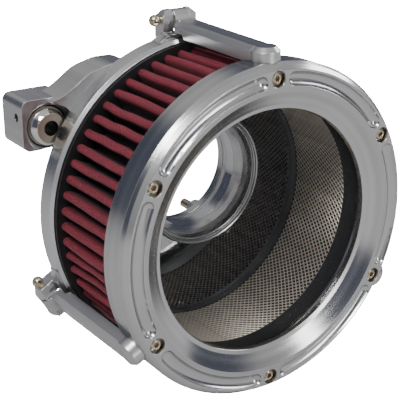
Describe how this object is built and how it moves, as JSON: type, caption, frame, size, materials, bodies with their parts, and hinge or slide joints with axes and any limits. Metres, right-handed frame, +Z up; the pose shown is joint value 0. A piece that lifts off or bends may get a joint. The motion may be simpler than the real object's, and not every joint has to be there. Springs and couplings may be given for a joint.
{
  "type": "air filter",
  "caption": "Open round motorcycle air filter: polished backplate with intake bore, pleated element, clear-lens cover ring held by swing latches, swivel-ball head mounts.",
  "frame": {"origin": "centre of the intake bore on the rear mounting face", "axes": "+Y along the intake bore towards the engine, -Y towards the clear cover, +Z up, +X to the right seen from the front"},
  "size_m": [0.2046, 0.122, 0.2062],
  "materials": {
    "machined_aluminium": "satin machined aluminium with fine turned lines",
    "polished_aluminium": "bright polished aluminium",
    "nickel_steel": "warm nickel-plated steel",
    "chrome_ball": "mirror chrome",
    "black_steel": "black oxide steel",
    "clear_lens": "clear polycarbonate, almost invisible",
    "seal_rubber": "soft black rubber",
    "black_cap": "moulded black polyurethane",
    "filter_gauze": "oiled crimson cotton gauze in fine pleats",
    "screen_steel": "expanded steel diamond mesh"
  },
  "bodies": {
    "root": {"cover_ring": "machined_aluminium", "ring_screws": "nickel_steel", "lens": "clear_lens", "lens_gasket": "seal_rubber", "lens_retainer": "machined_aluminium", "filter_front_cap": "black_cap", "filter_rear_cap": "black_cap", "filter_media": "filter_gauze", "filter_inner_screen": "screen_steel", "backplate": "polished_aluminium", "velocity_stack": "machined_aluminium", "throttle_adapter": "machined_aluminium", "adapter_seal": "seal_rubber", "throttle_screws": "nickel_steel", "dowel_sleeves": "nickel_steel", "adapter_screws": "nickel_steel", "hinge_pin_upper": "nickel_steel", "hinge_pin_left": "nickel_steel", "hinge_pin_right": "nickel_steel", "left_mount_arm": "machined_aluminium", "right_mount_arm": "machined_aluminium", "left_arm_screws": "nickel_steel", "right_arm_screws": "nickel_steel", "left_set_screw": "black_steel", "right_set_screw": "black_steel"},
    "latch_upper": {"latch_arm_upper": "machined_aluminium"},
    "latch_left": {"latch_arm_left": "machined_aluminium"},
    "latch_right": {"latch_arm_right": "machined_aluminium"},
    "left_swivel": {"left_swivel_ball": "chrome_ball"},
    "right_swivel": {"right_swivel_ball": "chrome_ball"}
  },
  "joints": [
    {"name": "latch_upper_hinge", "type": "hinge", "parent": "root", "child": "latch_upper", "pos_m": [0, -0.0075, 0.092], "axis": [-1, 0, 0], "range_deg": [0, 70]},
    {"name": "latch_left_hinge", "type": "hinge", "parent": "root", "child": "latch_left", "pos_m": [-0.0905, -0.0075, -0.06475], "axis": [0.5, 0, -0.866], "range_deg": [0, 70]},
    {"name": "latch_right_hinge", "type": "hinge", "parent": "root", "child": "latch_right", "pos_m": [0.0905, -0.0075, -0.06475], "axis": [0.5, 0, 0.866], "range_deg": [0, 70]},
    {"name": "left_ball_tilt", "type": "hinge", "parent": "root", "child": "left_swivel", "pos_m": [-0.085, 0.0013, 0.04], "axis": [1, 0, 0], "range_deg": [-8, 8]},
    {"name": "right_ball_tilt", "type": "hinge", "parent": "root", "child": "right_swivel", "pos_m": [0.085, 0.0013, 0.031], "axis": [1, 0, 0], "range_deg": [-8, 8]}
  ]
}
